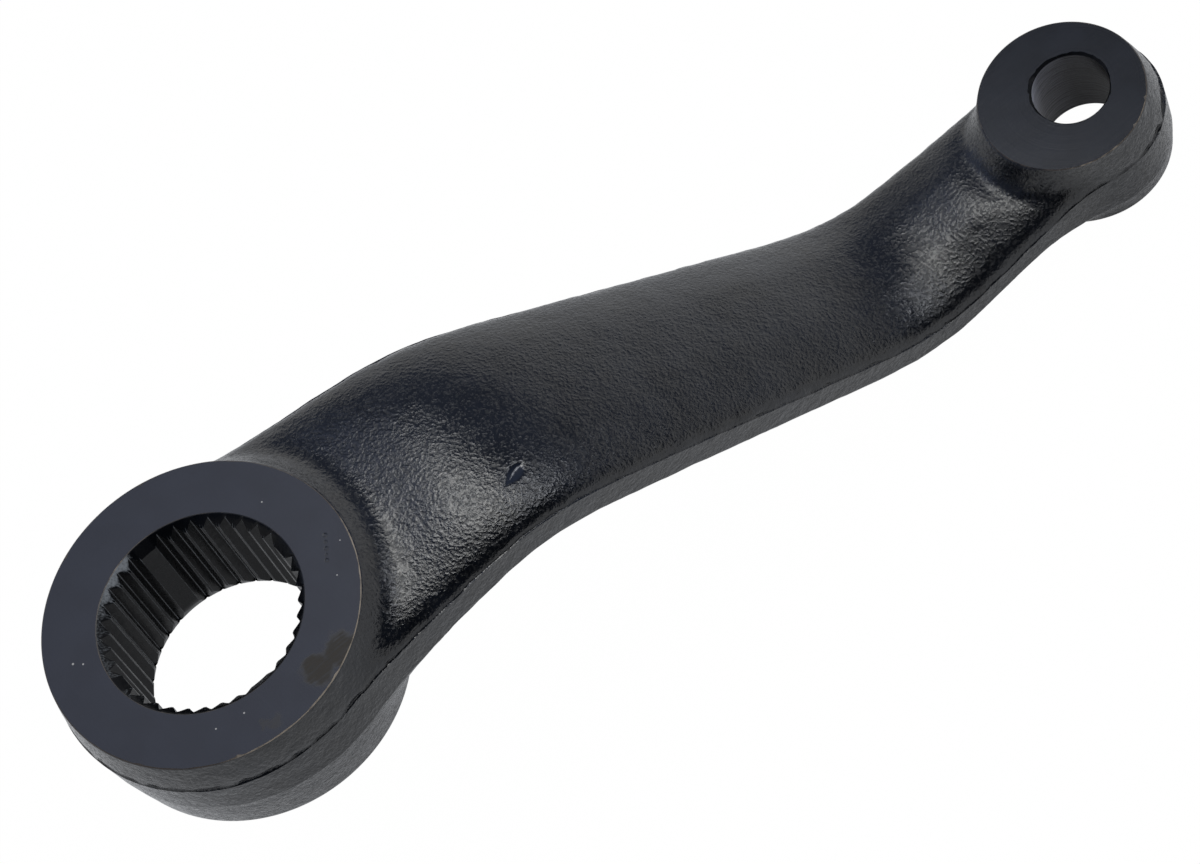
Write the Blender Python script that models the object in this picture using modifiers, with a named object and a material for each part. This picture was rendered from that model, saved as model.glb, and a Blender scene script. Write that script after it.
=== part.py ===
"""Drop-forged pitman arm: a splined hub, a dropped arm and a tapered eye.

Metres, +Z up along both bores.  The origin is on the splined bore's axis, in the
plane of the hub's top face.  The arm runs toward +X and drops to the eye.
"""
import math
from dataclasses import dataclass

import bmesh
import bpy
from mathutils import Vector

# Layout of the two bosses
CENTRE_DISTANCE = 0.1650
FACE_DROP = 0.0456

# Hub, the splined end.  Depths run down from its own top face.  Its lower half was
# forged a little toward the arm.
HUB_THICKNESS = 0.0232
HUB_FACE_RADIUS = 0.0260
HUB_BACK_RADIUS = 0.0259
HUB_LOWER_OFFSET = 0.0012
HUB_BAND_TOP_RADIUS = 0.0269
HUB_BAND_BOTTOM_RADIUS = 0.0274
HUB_BAND_TOP_DEPTH = 0.0069
HUB_BAND_BOTTOM_DEPTH = 0.0137

# Eye, the tapered end.  Its faced circle and its lower half sit toward the hub.
EYE_THICKNESS = 0.0188
EYE_FACE_RADIUS = 0.0142
EYE_FACE_OFFSET = 0.0019
EYE_BACK_RADIUS = 0.0144
EYE_LOWER_OFFSET = 0.0006
EYE_BAND_TOP_RADIUS = 0.0146
EYE_BAND_BOTTOM_RADIUS = 0.0150
EYE_BAND_TOP_DEPTH = 0.0076
EYE_BAND_BOTTOM_DEPTH = 0.0150

# Arm between them.  Half widths are those of its flanks carried on to each axis.
ARM_HUB_HALF_WIDTH = 0.0262
ARM_EYE_HALF_WIDTH = 0.0131
ARM_TAPER_POWER = 1.5
ARM_HALF_THICKNESS = 0.0067
ARM_BAND_AT_HUB = 0.0060
ARM_BAND_AT_EYE = 0.0032
ARM_BEND_FROM_HUB = 0.0490
ARM_BEND_FROM_EYE = 0.0449
ARM_BEND_SPREAD = 0.0170
ARM_LANDING_AT_HUB = 0.0360
ARM_LEVEL_FROM_EYE = 0.0310
ARM_LANDING_AT_EYE = 0.0235
ARM_LANDING_RISE = 0.0015
FILLET_REACH = 0.0034
SHOULDER_WIDTH = 0.0070
SHOULDER_DRAFT = 0.0009
SHOULDER_DROP = 0.0009
EDGE_DROP = 0.0028
CROWN_SHARE = 0.3

# Splined bore: tapering grooves on an even pitch, four of them left out.  The 45
# degree chamfer at the top and the longer lead-in at the back widen it by these.
SPLINE_PITCHES = 36
SPLINE_BLIND_COUNT = 4
SPLINE_TURN_DEGREES = 1.2
SPLINE_CREST_RADIUS = 0.0153
SPLINE_DEPTH = 0.0011
SPLINE_CREST_FLAT = 0.00040
SPLINE_ROOT_FLAT = 0.00020
HUB_TOP_CHAMFER = 0.0016
HUB_BACK_LEAD_WIDTH = 0.0007
HUB_BACK_LEAD_DEPTH = 0.0021

# Tapered bore, wider at the back
EYE_BORE_RADIUS = 0.0065
EYE_BORE_TAPER = 1 / 12
EYE_BORE_CHAMFER = 0.0004

# Mesh fineness
RING_COLUMNS = 16
SUBDIVISIONS = 2
BORE_STEPS = 64
BLIND_STEPS = 4
CUT_OVERRUN = 0.0010
WELD_DISTANCE = 0.000001

# Shares that place cage rows: the wall between a flat and the band, in depth and in
# radius, the neck's shoulder between edge and wall, and how far a landing wraps a boss
WALL_SHARE = 0.45
WALL_BULGE = 0.5
NECK_SHARE = 0.5
LANDING_BOW = 0.35

NECK_COLUMN = 2
CROWN_COLUMNS = (0, RING_COLUMNS - 1)
FAR_COLUMNS = range(NECK_COLUMN, RING_COLUMNS - NECK_COLUMN - 1)
ARM_COLUMNS = tuple(range(-NECK_COLUMN - 1, NECK_COLUMN + 1))


@dataclass
class Boss:
    """One end of the forging.  arm_side is +1 where the arm leaves toward +X."""
    x: float
    top: float
    arm_side: int
    thickness: float
    face_radius: float
    face_shift: float
    back_radius: float
    lower_shift: float
    band_top_radius: float
    band_bottom_radius: float
    band_top: float
    band_bottom: float

    @property
    def parting(self):
        """Depth of the middle of the trimmed band."""
        return (self.band_top + self.band_bottom) / 2


HUB = Boss(x=0.0, top=0.0, arm_side=1, thickness=HUB_THICKNESS,
           face_radius=HUB_FACE_RADIUS, face_shift=0.0, back_radius=HUB_BACK_RADIUS,
           lower_shift=HUB_LOWER_OFFSET, band_top_radius=HUB_BAND_TOP_RADIUS,
           band_bottom_radius=HUB_BAND_BOTTOM_RADIUS,
           band_top=HUB_BAND_TOP_DEPTH, band_bottom=HUB_BAND_BOTTOM_DEPTH)
EYE = Boss(x=CENTRE_DISTANCE, top=-FACE_DROP, arm_side=-1, thickness=EYE_THICKNESS,
           face_radius=EYE_FACE_RADIUS, face_shift=-EYE_FACE_OFFSET,
           back_radius=EYE_BACK_RADIUS, lower_shift=-EYE_LOWER_OFFSET,
           band_top_radius=EYE_BAND_TOP_RADIUS, band_bottom_radius=EYE_BAND_BOTTOM_RADIUS,
           band_top=EYE_BAND_TOP_DEPTH, band_bottom=EYE_BAND_BOTTOM_DEPTH)


def clear_scene():
    for old in list(bpy.data.objects):
        bpy.data.objects.remove(old, do_unlink=True)


def new_collection(name):
    collection = bpy.data.collections.new(name)
    bpy.context.scene.collection.children.link(collection)
    return collection


def lerp(start, end, share):
    return start + (end - start) * share


def cage_gain():
    """A subdivided ring shrinks by this much, so its cage starts larger."""
    return 3 / (2 + math.cos(2 * math.pi / RING_COLUMNS))


def ring_point(boss, column, radius, depth, shift=0.0):
    """A cage point on a boss.  Columns count round from the arm's side."""
    angle = (column + 0.5) * 2 * math.pi / RING_COLUMNS
    reach = radius * cage_gain()
    return Vector((boss.x + shift + boss.arm_side * reach * math.cos(angle),
                   reach * math.sin(angle), boss.top - depth))


def arm_half_width(x):
    """Half width of the arm's plan at a distance from the hub's axis."""
    share = min(max(x / CENTRE_DISTANCE, 0.0), 1.0)
    return lerp(ARM_EYE_HALF_WIDTH, ARM_HUB_HALF_WIDTH, (1 - share) ** ARM_TAPER_POWER)


def neck_point(boss, column, inset, depth):
    """A cage point where the arm's flank meets the boss."""
    point = ring_point(boss, column, boss.band_bottom_radius, depth)
    point.y = math.copysign(arm_half_width(point.x) - inset, point.y)
    return point


def is_arm_side(column):
    return column <= NECK_COLUMN or column >= RING_COLUMNS - NECK_COLUMN - 1


def is_neck(column):
    return column in (NECK_COLUMN, RING_COLUMNS - NECK_COLUMN - 1)


def wall_row(bm, boss, side, flat, band):
    """The row between a flat and the band: fillet foot, arm's shoulder or bare wall.

    side is +1 above the parting line and -1 below it.  flat and band each give a
    radius, a depth and a shift.
    """
    flat_radius, flat_depth, flat_shift = flat
    band_radius, band_depth, band_shift = band
    wall_radius = lerp(flat_radius, band_radius, WALL_BULGE)
    wall_depth = lerp(flat_depth, band_depth, WALL_SHARE)
    wall_shift = lerp(flat_shift, band_shift, WALL_BULGE)
    row = []
    for c in range(RING_COLUMNS):
        if is_neck(c):
            edge_depth = boss.parting - side * (ARM_HALF_THICKNESS - EDGE_DROP)
            point = neck_point(boss, c, SHOULDER_DRAFT, lerp(edge_depth, wall_depth, NECK_SHARE))
        elif is_arm_side(c):
            drop = 0.0 if c in CROWN_COLUMNS else SHOULDER_DROP
            depth = boss.parting - side * (ARM_HALF_THICKNESS - drop)
            point = ring_point(boss, c, flat_radius + FILLET_REACH, depth, flat_shift)
        else:
            point = ring_point(boss, c, wall_radius, wall_depth, wall_shift)
        row.append(bm.verts.new(point))
    return row


def boss_cage(bm, boss):
    """Rows of cage vertices down one boss, and the faces between them."""
    columns = range(RING_COLUMNS)
    face_flat = (boss.face_radius, 0.0, boss.face_shift)
    back_flat = (boss.back_radius, boss.thickness, boss.lower_shift)
    top_edge = (boss.band_top_radius, boss.band_top, 0.0)
    bottom_edge = (boss.band_bottom_radius, boss.band_bottom, boss.lower_shift)
    rim = [bm.verts.new(ring_point(boss, c, *face_flat)) for c in columns]
    back = [bm.verts.new(ring_point(boss, c, *back_flat)) for c in columns]
    upper = wall_row(bm, boss, 1, face_flat, top_edge)
    lower = wall_row(bm, boss, -1, back_flat, bottom_edge)
    band_top = band_row(bm, boss, *top_edge)
    band_bottom = band_row(bm, boss, *bottom_edge)
    for c in columns:
        following = (c + 1) % RING_COLUMNS
        bm.faces.new((rim[c], rim[following], upper[following], upper[c]))
        bm.faces.new((lower[c], lower[following], back[following], back[c]))
    for row, below in ((upper, band_top), (band_top, band_bottom), (band_bottom, lower)):
        for c in FAR_COLUMNS:
            bm.faces.new((row[c], row[c + 1], below[c + 1], below[c]))
    bm.faces.new(rim)
    bm.faces.new(back)
    crease_loop(bm, rim)
    crease_loop(bm, back)
    for row in (band_top, band_bottom):
        crease_path(bm, [row[c] for c in sorted(row)])
    return upper, band_top, band_bottom, lower


def band_row(bm, boss, radius, depth, shift):
    """One edge of the trimmed band, from neck to neck round the far side."""
    row = {}
    for c in range(NECK_COLUMN, RING_COLUMNS - NECK_COLUMN):
        if is_neck(c):
            row[c] = bm.verts.new(neck_point(boss, c, 0.0, depth))
        else:
            row[c] = bm.verts.new(ring_point(boss, c, radius, depth, shift))
    return row


def crease_path(bm, verts):
    crease = bm.edges.layers.float.get("crease_edge")
    for first, second in zip(verts, verts[1:]):
        bm.edges.get((first, second))[crease] = 1.0


def crease_loop(bm, verts):
    crease_path(bm, list(verts) + [verts[0]])


def neck_section(rows):
    """The closed section through which a boss opens into the arm."""
    upper, band_top, band_bottom, lower = rows
    plus, minus = NECK_COLUMN, RING_COLUMNS - NECK_COLUMN - 1
    return ([upper[c] for c in ARM_COLUMNS] + [band_top[plus], band_bottom[plus]]
            + [lower[c] for c in reversed(ARM_COLUMNS)] + [band_bottom[minus], band_top[minus]])


def arm_path():
    """Stations of the arm as (x, z, tilt, bow): flat, a straight drop, flat again.

    A bowed section curves round the boss that it lands on.
    """
    start, end = ARM_BEND_FROM_HUB, CENTRE_DISTANCE - ARM_BEND_FROM_EYE
    hub_z, eye_z = HUB.top - HUB.parting, EYE.top - EYE.parting
    fall = (hub_z - eye_z) / (end - start)
    spread = ARM_BEND_SPREAD
    corner_tilt = math.atan(fall) / 2
    hub_bow = -HUB_FACE_RADIUS * LANDING_BOW
    eye_bow = EYE_FACE_RADIUS * LANDING_BOW
    return [(ARM_LANDING_AT_HUB, hub_z, 0.0, hub_bow),
            (start, hub_z, corner_tilt, 0.0),
            (start + spread, hub_z - fall * spread, 2 * corner_tilt, 0.0),
            (end - spread, eye_z + fall * spread, 2 * corner_tilt, 0.0),
            (end, eye_z, corner_tilt, 0.0),
            (CENTRE_DISTANCE - ARM_LEVEL_FROM_EYE, eye_z, 0.0, 0.0),
            (CENTRE_DISTANCE - ARM_LANDING_AT_EYE, eye_z + ARM_LANDING_RISE, 0.0, eye_bow)]


def arm_section(bm, x, z, tilt, bow):
    """One closed section of the arm, square to its path."""
    half_width = arm_half_width(x + bow)
    half_band = lerp(ARM_BAND_AT_HUB, ARM_BAND_AT_EYE, x / CENTRE_DISTANCE) / 2
    up = Vector((math.sin(tilt), 0.0, math.cos(tilt)))
    right_face = [(half_width * CROWN_SHARE, ARM_HALF_THICKNESS),
                  (half_width - SHOULDER_WIDTH, ARM_HALF_THICKNESS - SHOULDER_DROP),
                  (half_width - SHOULDER_DRAFT, ARM_HALF_THICKNESS - EDGE_DROP)]
    left_face = [(-y, height) for y, height in reversed(right_face)]
    half = left_face + right_face + [(half_width, half_band), (half_width, -half_band)]
    section = half + [(-y, -height) for y, height in half]
    points = [Vector((x + bow * (y / half_width) ** 2, y, z)) + up * height
              for y, height in section]
    return [bm.verts.new(point) for point in points]


def bridge(bm, first, second):
    for i in range(len(first)):
        j = (i + 1) % len(first)
        bm.faces.new((first[i], first[j], second[j], second[i]))


def forging(collection):
    """The whole rough forging as a coarse cage under a Subdivision Surface."""
    bm = bmesh.new()
    bm.edges.layers.float.new("crease_edge")
    hub_rows, eye_rows = boss_cage(bm, HUB), boss_cage(bm, EYE)
    sections = [neck_section(hub_rows)]
    sections += [arm_section(bm, *station) for station in arm_path()]
    sections.append(neck_section(eye_rows))
    for first, second in zip(sections, sections[1:]):
        bridge(bm, first, second)
    face_points = len(ARM_COLUMNS)
    for edge_point in (face_points, face_points + 1, -2, -1):
        crease_path(bm, [section[edge_point] for section in sections])
    bmesh.ops.recalc_face_normals(bm, faces=bm.faces)
    mesh = bpy.data.meshes.new("pitman_arm")
    bm.to_mesh(mesh)
    bm.free()
    body = bpy.data.objects.new("pitman_arm", mesh)
    collection.objects.link(body)
    smooth = body.modifiers.new("forged_form", "SUBSURF")
    smooth.levels = SUBDIVISIONS
    smooth.render_levels = SUBDIVISIONS
    return body


def spline_outline():
    """Bore outline: a groove and a land a pitch, one wide land where a groove is blind."""
    pitch = 2 * math.pi / SPLINE_PITCHES
    blind_every = SPLINE_PITCHES // SPLINE_BLIND_COUNT
    crest, root = SPLINE_CREST_RADIUS, SPLINE_CREST_RADIUS + SPLINE_DEPTH
    half_root = SPLINE_ROOT_FLAT / 2 / root
    half_crest = SPLINE_CREST_FLAT / 2 / crest
    points = []
    for i in range(SPLINE_PITCHES):
        groove = i * pitch + math.radians(SPLINE_TURN_DEGREES)
        land = groove + pitch / 2
        if i % blind_every:
            points += [(root, groove - half_root), (root, groove + half_root)]
        else:
            points += blind_arc(crest, groove, pitch / 2 - half_crest)
        points += [(crest, land - half_crest), (crest, land + half_crest)]
    return [(r * math.cos(a), r * math.sin(a)) for r, a in points]


def blind_arc(radius, middle, half_angle):
    """Points between the ends of an arc, which bridge a groove that is left out."""
    shares = [2 * k / BLIND_STEPS - 1 for k in range(1, BLIND_STEPS)]
    return [(radius, middle + half_angle * share) for share in shares]


def extruded_cutter(name, outline, bottom, top, collection):
    """A closed flat outline extruded between two heights, as a mesh."""
    curve = bpy.data.curves.new(name, "CURVE")
    curve.dimensions = "2D"
    curve.fill_mode = "BOTH"
    curve.extrude = (top - bottom) / 2
    line = curve.splines.new("POLY")
    line.points.add(len(outline) - 1)
    for point, (x, y) in zip(line.points, outline):
        point.co = (x, y, 0.0, 1.0)
    line.use_cyclic_u = True
    drawn = bpy.data.objects.new(name + "_outline", curve)
    drawn.location.z = (top + bottom) / 2
    collection.objects.link(drawn)
    bpy.context.view_layer.update()
    evaluated = drawn.evaluated_get(bpy.context.evaluated_depsgraph_get())
    mesh = bpy.data.meshes.new_from_object(evaluated)
    cutter = bpy.data.objects.new(name, mesh)
    cutter.matrix_world = drawn.matrix_world
    bpy.data.objects.remove(drawn, do_unlink=True)
    weld(mesh)
    return as_cutter(cutter, collection)


def weld(mesh):
    bm = bmesh.new()
    bm.from_mesh(mesh)
    bmesh.ops.remove_doubles(bm, verts=bm.verts, dist=WELD_DISTANCE)
    bmesh.ops.recalc_face_normals(bm, faces=bm.faces)
    bm.to_mesh(mesh)
    bm.free()


def turned_cutter(name, profile, location, collection):
    """A profile of (radius, height) from top to bottom, turned about Z."""
    mesh = bpy.data.meshes.new(name)
    verts = [(radius, 0.0, height) for radius, height in profile]
    mesh.from_pydata(verts, [(i, i + 1) for i in range(len(verts) - 1)], [])
    cutter = bpy.data.objects.new(name, mesh)
    cutter.location = location
    turn = cutter.modifiers.new("turn", "SCREW")
    turn.axis = "Z"
    turn.steps = BORE_STEPS
    turn.render_steps = BORE_STEPS
    turn.use_merge_vertices = True
    turn.merge_threshold = WELD_DISTANCE
    return as_cutter(cutter, collection)


def as_cutter(cutter, collection):
    collection.objects.link(cutter)
    cutter.hide_render = True
    cutter.display_type = "WIRE"
    return cutter


def hub_spline(collection):
    return extruded_cutter("hub_spline_cutter", spline_outline(),
                           HUB.top - HUB.thickness - CUT_OVERRUN, HUB.top + CUT_OVERRUN,
                           collection)


def hub_chamfers(collection):
    """Chamfer and back lead-in of the splined bore, joined by a waist inside it."""
    waist = SPLINE_CREST_RADIUS - CUT_OVERRUN
    top = SPLINE_CREST_RADIUS + HUB_TOP_CHAMFER
    back = SPLINE_CREST_RADIUS + HUB_BACK_LEAD_WIDTH
    back_slope = HUB_BACK_LEAD_DEPTH / HUB_BACK_LEAD_WIDTH
    profile = [(0.0, CUT_OVERRUN), (top + CUT_OVERRUN, CUT_OVERRUN),
               (waist, waist - top), (waist, (back - waist) * back_slope - HUB_THICKNESS),
               (back + CUT_OVERRUN / back_slope, -HUB_THICKNESS - CUT_OVERRUN),
               (0.0, -HUB_THICKNESS - CUT_OVERRUN)]
    return turned_cutter("hub_chamfer_cutter", profile, (HUB.x, 0.0, HUB.top), collection)


def eye_bore(collection):
    """The tapered bore, which widens to the back, with a small lead-in."""
    chamfer_end = EYE_BORE_RADIUS + EYE_BORE_TAPER * EYE_BORE_CHAMFER
    wide = EYE_BORE_RADIUS + EYE_BORE_TAPER * (EYE_THICKNESS + CUT_OVERRUN)
    lip = EYE_BORE_RADIUS + EYE_BORE_CHAMFER + CUT_OVERRUN
    profile = [(0.0, CUT_OVERRUN), (lip, CUT_OVERRUN), (chamfer_end, -EYE_BORE_CHAMFER),
               (wide, -EYE_THICKNESS - CUT_OVERRUN), (0.0, -EYE_THICKNESS - CUT_OVERRUN)]
    return turned_cutter("eye_bore_cutter", profile, (EYE.x, 0.0, EYE.top), collection)


def cut(body, cutter):
    boolean = body.modifiers.new(cutter.name, "BOOLEAN")
    boolean.operation = "DIFFERENCE"
    boolean.solver = "EXACT"
    boolean.object = cutter


def black_paint():
    material = bpy.data.materials.new("black_paint")
    material.use_nodes = True
    shader = material.node_tree.nodes["Principled BSDF"]
    shader.inputs["Base Color"].default_value = (0.028, 0.031, 0.038, 1.0)
    shader.inputs["Roughness"].default_value = 0.42
    shader.inputs["Metallic"].default_value = 0.0
    return material


def main():
    clear_scene()
    parts = new_collection("pitman_arm")
    cutters = new_collection("cutters")
    body = forging(parts)
    for cutter in (hub_spline(cutters), hub_chamfers(cutters), eye_bore(cutters)):
        cut(body, cutter)
    body.data.materials.append(black_paint())
    body.data.shade_smooth()


main()
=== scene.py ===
"""Dressed pitman arm: a black painted forging with machined, painted faces.

Metres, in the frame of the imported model: +Z up along both bores, the origin on the
splined bore's axis in the plane of the hub's top face, the arm toward +X.
"""
import math
from dataclasses import dataclass

import bmesh
import bpy
import numpy as np
from mathutils import Matrix, Vector, kdtree, noise


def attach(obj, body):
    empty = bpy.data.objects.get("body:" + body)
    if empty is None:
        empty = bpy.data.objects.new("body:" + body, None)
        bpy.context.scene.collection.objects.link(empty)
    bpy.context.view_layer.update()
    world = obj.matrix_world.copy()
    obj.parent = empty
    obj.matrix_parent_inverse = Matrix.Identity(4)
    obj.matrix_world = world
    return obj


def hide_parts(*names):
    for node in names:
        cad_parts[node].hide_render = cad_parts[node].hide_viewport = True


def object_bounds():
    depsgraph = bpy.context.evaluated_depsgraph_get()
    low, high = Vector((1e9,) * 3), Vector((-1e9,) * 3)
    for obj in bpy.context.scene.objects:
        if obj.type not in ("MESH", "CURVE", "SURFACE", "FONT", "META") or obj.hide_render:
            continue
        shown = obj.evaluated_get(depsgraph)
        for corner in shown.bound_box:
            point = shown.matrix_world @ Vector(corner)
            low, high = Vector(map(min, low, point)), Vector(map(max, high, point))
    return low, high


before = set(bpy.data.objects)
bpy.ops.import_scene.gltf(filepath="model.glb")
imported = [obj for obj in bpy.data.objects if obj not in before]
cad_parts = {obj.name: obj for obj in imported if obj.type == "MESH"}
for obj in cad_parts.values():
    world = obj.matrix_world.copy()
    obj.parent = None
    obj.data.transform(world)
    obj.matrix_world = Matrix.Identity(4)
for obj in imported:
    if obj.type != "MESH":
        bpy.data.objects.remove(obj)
cad_low, cad_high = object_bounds()

MM = 0.001
NODE = "pitman_arm"

# Layout of the two bosses
CENTRE_DISTANCE = 0.1650
FACE_DROP = 0.0456

# Arm between them
ARM_HUB_HALF_WIDTH = 0.0262
ARM_EYE_HALF_WIDTH = 0.0131
ARM_TAPER_POWER = 1.5
ARM_HALF_THICKNESS = 0.0067
ARM_BAND_AT_HUB = 0.0060
ARM_BAND_AT_EYE = 0.0032
ARM_BEND_FROM_HUB = 0.0490
ARM_BEND_FROM_EYE = 0.0449
ARM_BEND_SPREAD = 0.0170
ARM_LANDING_AT_HUB = 0.0360
ARM_LEVEL_FROM_EYE = 0.0310
ARM_LANDING_AT_EYE = 0.0235
ARM_LANDING_RISE = 0.0015
FILLET_REACH = 0.0034
SHOULDER_WIDTH = 0.0070
SHOULDER_DRAFT = 0.0009
SHOULDER_DROP = 0.0009
EDGE_DROP = 0.0028
CROWN_SHARE = 0.3
WALL_SHARE = 0.45
WALL_BULGE = 0.5
NECK_SHARE = 0.5
LANDING_BOW = 0.35

# Splined bore and tapered bore
SPLINE_PITCHES = 36
SPLINE_BLIND_COUNT = 4
SPLINE_TURN_DEGREES = 1.2
SPLINE_CREST_RADIUS = 0.0153
SPLINE_DEPTH = 0.0011
SPLINE_CREST_FLAT = 0.00040
SPLINE_ROOT_FLAT = 0.00020
HUB_TOP_CHAMFER = 0.0016
HUB_BACK_LEAD_WIDTH = 0.0007
HUB_BACK_LEAD_DEPTH = 0.0021
EYE_BORE_RADIUS = 0.0065
EYE_BORE_TAPER = 1 / 12
EYE_BORE_CHAMFER = 0.0004

# Mesh fineness
RING_COLUMNS = 16
SUBDIVISIONS = 4
SPLINE_ROWS = 22
EYE_BORE_COLUMNS = 144
EYE_BORE_ROWS = 26
FINE_STATIONS = (3, 4)
FACE_RING_SHARES = (0.1, 0.4, 0.75)
CHAMFER_SHARES = (0.0, 0.12, 0.55)
FILL_SHARES = (0.5, 1.0)

# Relief of the forged skin: size of a swell and its height
SWELLS = ((9 * MM, 0.060 * MM), (3.6 * MM, 0.036 * MM), (1.7 * MM, 0.020 * MM))
BAND_RELIEF = 0.3
RIM_FADE = 1.3 * MM
FLASH_STEP = 0.34 * MM
FLASH_LIP = 0.20 * MM
FLASH_REACH = 1.0 * MM
FLASH_RAG_MEAN, FLASH_RAG_SWING = 0.8, 1.1
FLASH_RAG_BOUNDS = (0.1, 1.5)
FLASH_WANDER = 0.22 * MM
FLASH_WAVE = 4.2 * MM
FLASH_SEED, BAND_TOP_SEED, BAND_BOTTOM_SEED = 11, 21, 22

# The step above the trimmed band is deepest on one side of the eye
EYE_RECESS_TURN = math.radians(-12)
EYE_RECESS_GAIN = 3.6
EYE_RECESS_LEAD = 2 * MM
EYE_RECESS_RUN = 6 * MM

# Paint that fills the last of each groove
GROOVE_FILL = 0.25 * MM

# Broken edges round the machined faces, and paint clotted on the small bore's edge
EDGE_BREAK = 0.21 * MM
BREAK_FALL = 0.12 * MM
CHIP_DEPTH = 0.30 * MM
CHIP_HALF_ANGLE = math.radians(1.6)
BORE_EDGE_BREAK = 0.14 * MM
CLOT_TURN = math.radians(125)

# Wear from 0, sound paint, to 1, bare: by angle in degrees round each rim and the splined
# bore's edge. The splined bore's chamfer mixes wear with painted highlight, the small bore's
# wall carries a painted reflection, pale on the hub's side, and the groove roots and land
# edges carry painted highlight lines.
HUB_TOP_WEAR = ((-180, 0.42), (-125, 0.45), (-105, 0.85), (-20, 0.9), (5, 0.5), (60, 0.38),
                (110, 0.5), (180, 0.42))
HUB_UNDER_WEAR = ((-180, 0.40), (180, 0.40))
EYE_TOP_WEAR = ((-180, 0.30), (-135, 0.35), (-115, 0.74), (-60, 0.70), (-30, 0.45),
                (0, 0.25), (180, 0.30))
EYE_UNDER_WEAR = ((-180, 0.35), (180, 0.35))
BORE_EDGE_WEAR = ((-180, 0.55), (-60, 0.3), (40, 0.35), (90, 0.75), (180, 0.60))
# The chamfer's grey at 100 to 125 degrees is partly wear and partly a painted highlight of the lit
# grey that side of the cone shows.
CHAMFER_WEAR_AND_HIGHLIGHT = ((-180, 0.30), (-150, 0.0), (98, 0.0), (102, 0.62), (124, 0.55), (140, 0.22),
                (180, 0.28))
# Painted reflection on the small bore's wall: 1 paints it pale, on the hub's side, 0 leaves it
# dark.
EYE_BORE_REFLECTION = ((-180, 1.0), (-130, 0.60), (-60, 0.10), (0, 0.0), (60, 0.05), (110, 0.25),
                 (150, 1.0), (180, 1.0))
GROOVE_ROOT_HIGHLIGHT = 0.62
LAND_EDGE_HIGHLIGHT = 0.50

# The small leaf-shaped dent on the arm beside the hub
DENT_START = Vector((0.05306, -0.01157, -0.00744))
DENT_END = Vector((0.04831, -0.01370, -0.00624))
DENT_HALF_WIDTH = 1.4 * MM
DENT_DEPTH = 0.34 * MM

# Photograph and camera
PHOTO_WIDTH = 1200
CAMERA_FOCAL_PIXELS = 4695.3
SENSOR_WIDTH = 36.0
CAMERA_TURN = Vector((2.43713912, -0.91125509, -0.13153263))
CAMERA_FIT_SCALE = 0.98
CAMERA_SHIFT = Vector((-62.60385664, 28.22839419, 734.47152986)) * CAMERA_FIT_SCALE * MM

# Columns round a boss of the cage: where the arm's flanks, crown and section meet it
NECK_COLUMN = 2
CROWN_COLUMNS = (0, RING_COLUMNS - 1)
FAR_COLUMNS = range(NECK_COLUMN, RING_COLUMNS - NECK_COLUMN - 1)
ARM_COLUMNS = tuple(range(-NECK_COLUMN - 1, NECK_COLUMN + 1))

# Rows of the cage: the machined rims, the shoulders and the trimmed band's two edges
RIM_ROW, WALL_ROW, BAND_ROW = 3.0, 2.0, 1.0
ROW_GAP = 1e-3

# Material slots of the mesh
SKIN, FACE, RIM, BORE, CLOT, SMALL_BORE = range(6)


@dataclass
class Boss:
    """One end of the forging.

    arm_side is +1 where the arm leaves toward +X.  The shifts move the top face, and all
    below the trimmed band, along X.  band_top and band_bottom are depths below the face.
    """
    x: float
    top: float
    arm_side: int
    thickness: float
    face_radius: float
    face_shift: float
    back_radius: float
    lower_shift: float
    band_top_radius: float
    band_bottom_radius: float
    band_top: float
    band_bottom: float

    @property
    def parting(self):
        """Depth of the middle of the trimmed band."""
        return (self.band_top + self.band_bottom) / 2

    @property
    def back(self):
        return self.top - self.thickness


HUB = Boss(x=0.0, top=0.0, arm_side=1, thickness=0.0232,
           face_radius=0.0260, face_shift=0.0, back_radius=0.0259, lower_shift=0.0012,
           band_top_radius=0.0269, band_bottom_radius=0.0274,
           band_top=0.0069, band_bottom=0.0137)
EYE = Boss(x=CENTRE_DISTANCE, top=-FACE_DROP, arm_side=-1, thickness=0.0188,
           face_radius=0.0142, face_shift=-0.0019, back_radius=0.0144, lower_shift=-0.0006,
           band_top_radius=0.0146, band_bottom_radius=0.0150,
           band_top=0.0076, band_bottom=0.0150)


@dataclass
class Flat:
    """A machined face: its rim circle, its height, its wear and its chips' angles in degrees."""
    x: float
    radius: float
    height: float
    side: int
    wear_and_sheen: tuple
    chips: tuple = ()


HUB_TOP = Flat(HUB.x, HUB.face_radius, HUB.top, 1, HUB_TOP_WEAR,
               (77.5, 114.0, -111.0, -68.0, -147.0))
HUB_UNDER = Flat(HUB.x + HUB.lower_shift, HUB.back_radius, HUB.back, -1, HUB_UNDER_WEAR,
                 (40.0, 163.0))
EYE_TOP = Flat(EYE.x + EYE.face_shift, EYE.face_radius, EYE.top, 1, EYE_TOP_WEAR,
               (-70.0, -48.0, 128.0))
EYE_UNDER = Flat(EYE.x + EYE.lower_shift, EYE.back_radius, EYE.back, -1, EYE_UNDER_WEAR,
                 (15.0,))


def lerp(start, end, share):
    return start + (end - start) * share


def smooth_step(value):
    share = np.clip(value, 0.0, 1.0)
    return share * share * (3 - 2 * share)


def wear_and_sheen_at(table, turn):
    """The table's value at an angle in radians, between the table's angles in degrees."""
    degrees = (math.degrees(turn) + 180) % 360 - 180
    return float(np.interp(degrees, [row[0] for row in table], [row[1] for row in table]))


def new_object(name, data):
    """An object of this data in the scene."""
    made = bpy.data.objects.new(name, data)
    bpy.context.scene.collection.objects.link(made)
    return made


# The forging's cage

def cage_gain():
    """A subdivided ring shrinks by this much, so its cage starts larger."""
    return 3 / (2 + math.cos(2 * math.pi / RING_COLUMNS))


def cage_vert(bm, point, row, station):
    vert = bm.verts.new(point)
    vert[bm.verts.layers.float["row"]] = row
    vert[bm.verts.layers.float["station"]] = station
    return vert


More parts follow.
